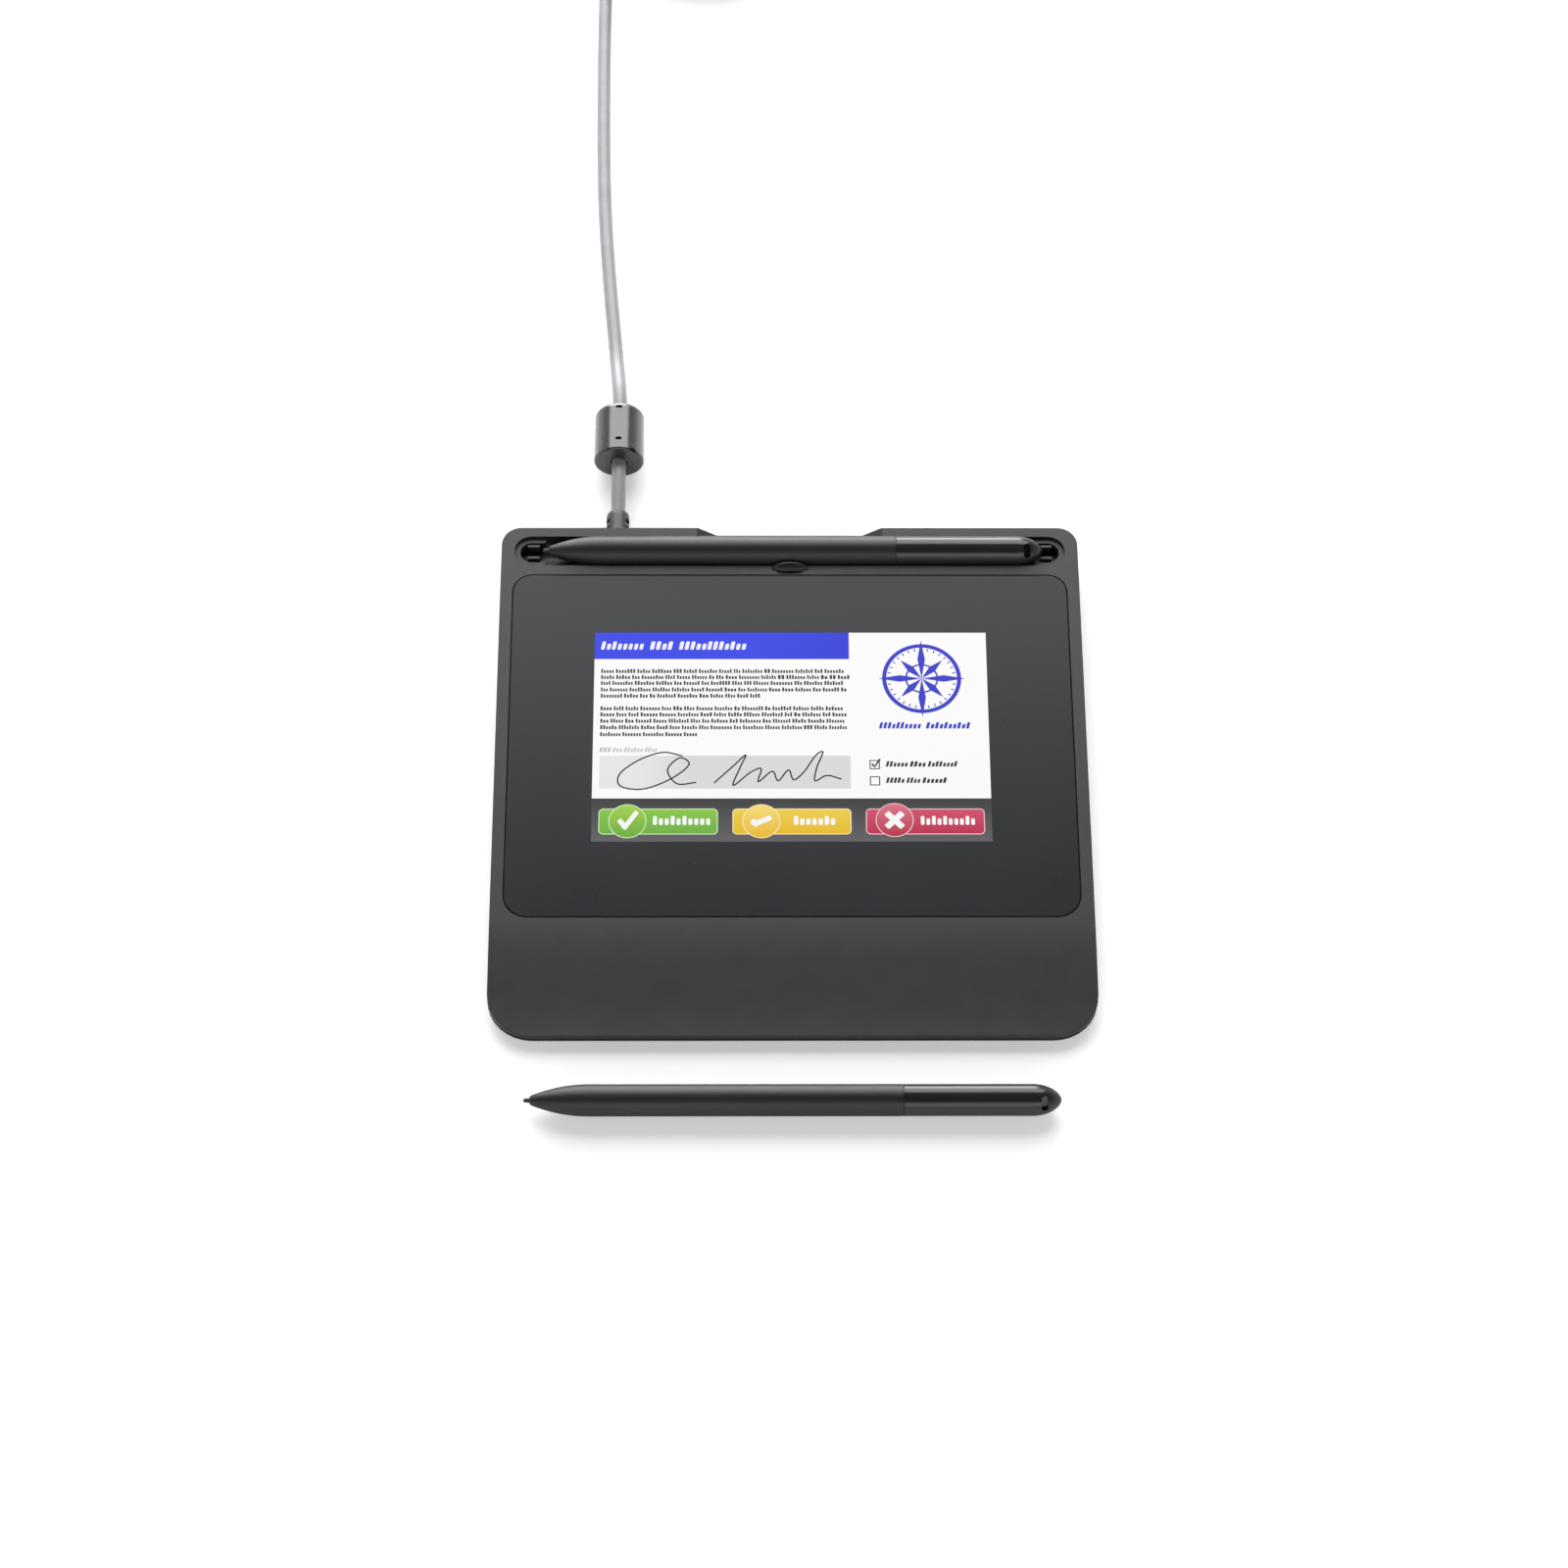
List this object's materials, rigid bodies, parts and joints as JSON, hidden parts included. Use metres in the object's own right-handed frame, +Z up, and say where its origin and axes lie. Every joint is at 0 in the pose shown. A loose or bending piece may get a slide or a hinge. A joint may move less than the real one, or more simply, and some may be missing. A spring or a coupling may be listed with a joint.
{
  "type": "signature pad",
  "caption": "Wedge-shaped counter-top signature pad with a flush display, a pen in its rear tray, a loose pen in front, and a fixed USB lead with a ferrite clamp.",
  "frame": {"origin": "on the table, under the centre of the box round the pad and the loose pen, the lead left out", "axes": "+X along the pad's width, the pens' nibs at -X; +Y away from the person who signs, towards the lead; +Z up"},
  "size_m": [0.1614, 0.4552, 0.019],
  "materials": {
    "case_plastic": "charcoal, fine moulded texture",
    "bottom_plastic": "near-black, fine moulded texture",
    "cover_glass": "hard clear sheet, printed dark behind its border",
    "adhesive": "black foam tape",
    "panel": "lit colour panel",
    "light_guide": "milky light guide",
    "sheet_steel": "bright pressed sheet",
    "board": "green circuit board",
    "chip": "black chip body",
    "connector": "ivory connector body",
    "flex": "amber flexible circuit",
    "sleeve": "grey conductor sleeve",
    "rubber": "black rubber",
    "screw_steel": "dark plated steel",
    "cable": "charcoal soft sheath and overmould",
    "tie": "black tie wrap",
    "ferrite_shell": "charcoal satin shell",
    "ferrite": "sintered ferrite",
    "pen_barrel": "charcoal matt barrel",
    "pen_cap": "charcoal satin cap",
    "pen_nib": "hard dark nib",
    "copper": "wound copper coil"
  },
  "bodies": {
    "pad": {"top_case": "case_plastic", "bottom_case": "bottom_plastic", "cover_glass": "cover_glass", "glass_adhesive": "adhesive", "display_panel": "panel", "backlight": "light_guide", "panel_frame": "sheet_steel", "shield_plate": "sheet_steel", "usb_plug_shell": "sheet_steel", "digitizer_board": "board", "main_board": "board", "controller_chip": "chip", "panel_connector": "connector", "digitizer_connector": "connector", "cable_header": "connector", "usb_plug_tongue": "connector", "panel_flex": "flex", "digitizer_flex": "flex", "lead_conductors": "sleeve", "rubber_foot_1": "rubber", "rubber_foot_2": "rubber", "rubber_foot_3": "rubber", "rubber_foot_4": "rubber", "case_screw_1": "screw_steel", "case_screw_2": "screw_steel", "case_screw_3": "screw_steel", "case_screw_4": "screw_steel", "case_screw_5": "screw_steel", "case_screw_6": "screw_steel", "strain_relief": "cable", "cable_lead": "cable", "cable_coil": "cable", "cable_tail": "cable", "usb_plug_body": "cable", "coil_tie": "tie", "ferrite_shell_upper": "ferrite_shell", "ferrite_shell_lower": "ferrite_shell", "ferrite_core_upper": "ferrite", "ferrite_core_lower": "ferrite"},
    "stowed_pen": {"stowed_pen_barrel": "pen_barrel", "stowed_pen_cap": "pen_cap", "stowed_pen_core": "copper"},
    "stowed_nib": {"stowed_pen_nib": "pen_nib"},
    "loose_pen": {"loose_pen_barrel": "pen_barrel", "loose_pen_cap": "pen_cap", "loose_pen_core": "copper"},
    "loose_nib": {"loose_pen_nib": "pen_nib"}
  },
  "joints": [
    {"name": "stowed_pen_lift", "type": "slide", "parent": "pad", "child": "stowed_pen", "axis": [0, -0.0419, 0.9991], "range_m": [0, 0.06]},
    {"name": "stowed_nib_press", "type": "slide", "parent": "stowed_pen", "child": "stowed_nib", "axis": [1, 0, 0], "range_m": [0, 0.0003], "stiffness_N_per_m": 500},
    {"name": "loose_pen_lift", "type": "slide", "parent": "pad", "child": "loose_pen", "axis": [0, 0, 1], "range_m": [0, 0.08]},
    {"name": "loose_nib_press", "type": "slide", "parent": "loose_pen", "child": "loose_nib", "axis": [1, 0, 0], "range_m": [0, 0.0003], "stiffness_N_per_m": 500}
  ]
}
